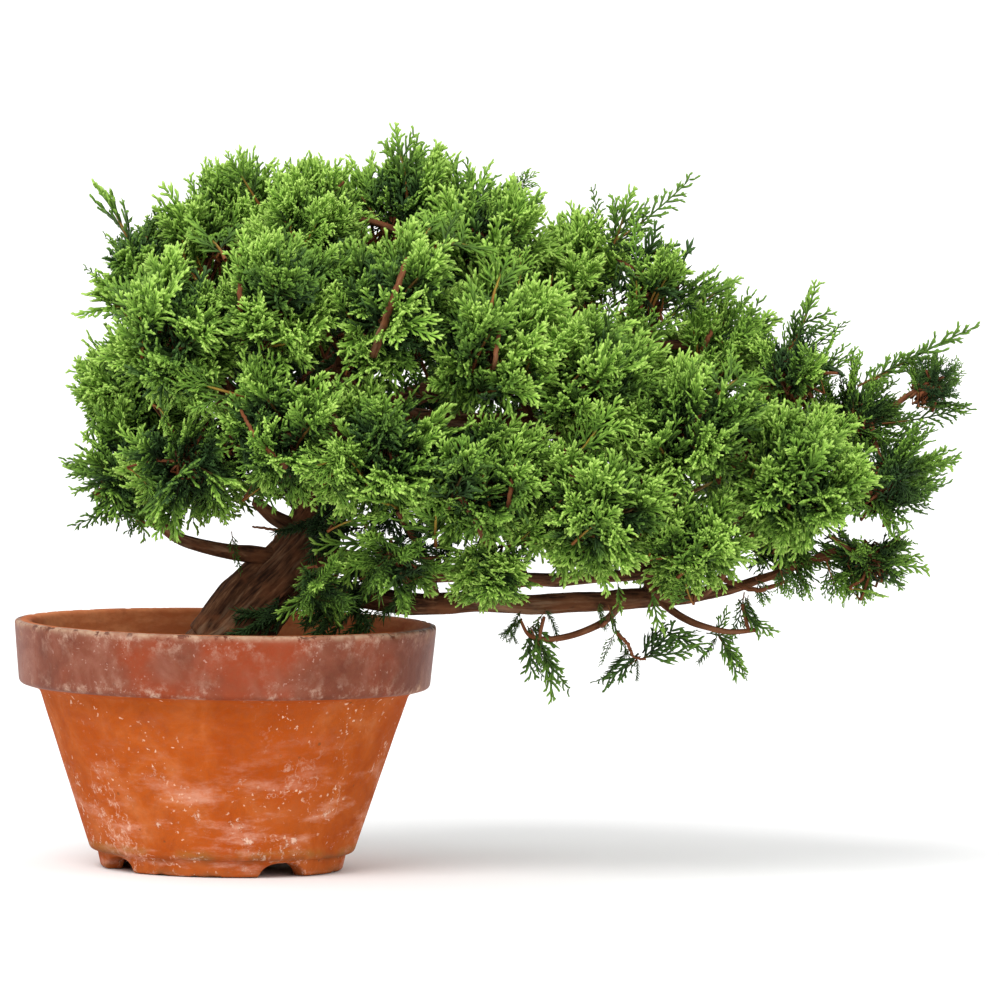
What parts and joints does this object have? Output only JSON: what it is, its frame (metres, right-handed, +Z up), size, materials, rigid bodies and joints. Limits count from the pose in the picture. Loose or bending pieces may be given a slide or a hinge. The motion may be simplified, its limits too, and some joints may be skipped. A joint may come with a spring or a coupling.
{
  "type": "potted juniper bonsai tree",
  "caption": "Semi-cascade juniper bonsai with a leaning trunk and a windswept crown, in soil in a round terracotta pot with a raised rim band and a notched foot ring.",
  "frame": {"origin": "middle of the underside of the whole part's box, on the plane that the foot ring stands on", "axes": "+Z up; +X along the sweep of the cascade, which is the longest side; +Y away from the front of the tree, along the shortest side"},
  "size_m": [0.547, 0.3052, 0.4246],
  "materials": {
    "terracotta": "matte",
    "bark": "matte",
    "juniper_foliage": "satin",
    "soil": "matte",
    "net_plastic": "satin"
  },
  "bodies": {
    "root": {"drainage_net": "net_plastic", "foliage_back_1": "juniper_foliage", "foliage_back_10": "juniper_foliage", "foliage_back_11": "juniper_foliage", "foliage_back_2": "juniper_foliage", "foliage_back_3": "juniper_foliage", "foliage_back_4": "juniper_foliage", "foliage_back_5": "juniper_foliage", "foliage_back_6": "juniper_foliage", "foliage_back_7": "juniper_foliage", "foliage_back_8": "juniper_foliage", "foliage_back_9": "juniper_foliage", "foliage_front_1": "juniper_foliage", "foliage_front_10": "juniper_foliage", "foliage_front_11": "juniper_foliage", "foliage_front_12": "juniper_foliage", "foliage_front_13": "juniper_foliage", "foliage_front_2": "juniper_foliage", "foliage_front_3": "juniper_foliage", "foliage_front_4": "juniper_foliage", "foliage_front_5": "juniper_foliage", "foliage_front_6": "juniper_foliage", "foliage_front_7": "juniper_foliage", "foliage_front_8": "juniper_foliage", "foliage_front_9": "juniper_foliage", "foliage_hanging_1": "juniper_foliage", "foliage_hanging_2": "juniper_foliage", "foliage_hanging_3": "juniper_foliage", "foliage_inner_1": "juniper_foliage", "foliage_inner_2": "juniper_foliage", "foliage_inner_3": "juniper_foliage", "foliage_inner_4": "juniper_foliage", "foliage_inner_5": "juniper_foliage", "foliage_inner_6": "juniper_foliage", "foliage_left_1": "juniper_foliage", "foliage_left_2": "juniper_foliage", "foliage_left_3": "juniper_foliage", "foliage_shoulder_1": "juniper_foliage", "foliage_shoulder_2": "juniper_foliage", "foliage_shoulder_3": "juniper_foliage", "foliage_skirt_1": "juniper_foliage", "foliage_skirt_2": "juniper_foliage", "foliage_skirt_3": "juniper_foliage", "foliage_tip_1": "juniper_foliage", "foliage_tip_2": "juniper_foliage", "foliage_tip_3": "juniper_foliage", "foliage_tip_4": "juniper_foliage", "foliage_tip_5": "juniper_foliage", "foliage_top_1": "juniper_foliage", "foliage_top_2": "juniper_foliage", "foliage_top_3": "juniper_foliage", "foliage_top_4": "juniper_foliage", "foliage_top_5": "juniper_foliage", "pot": "terracotta", "soil": "soil", "trunk_and_limbs": "bark"}
  },
  "joints": []
}
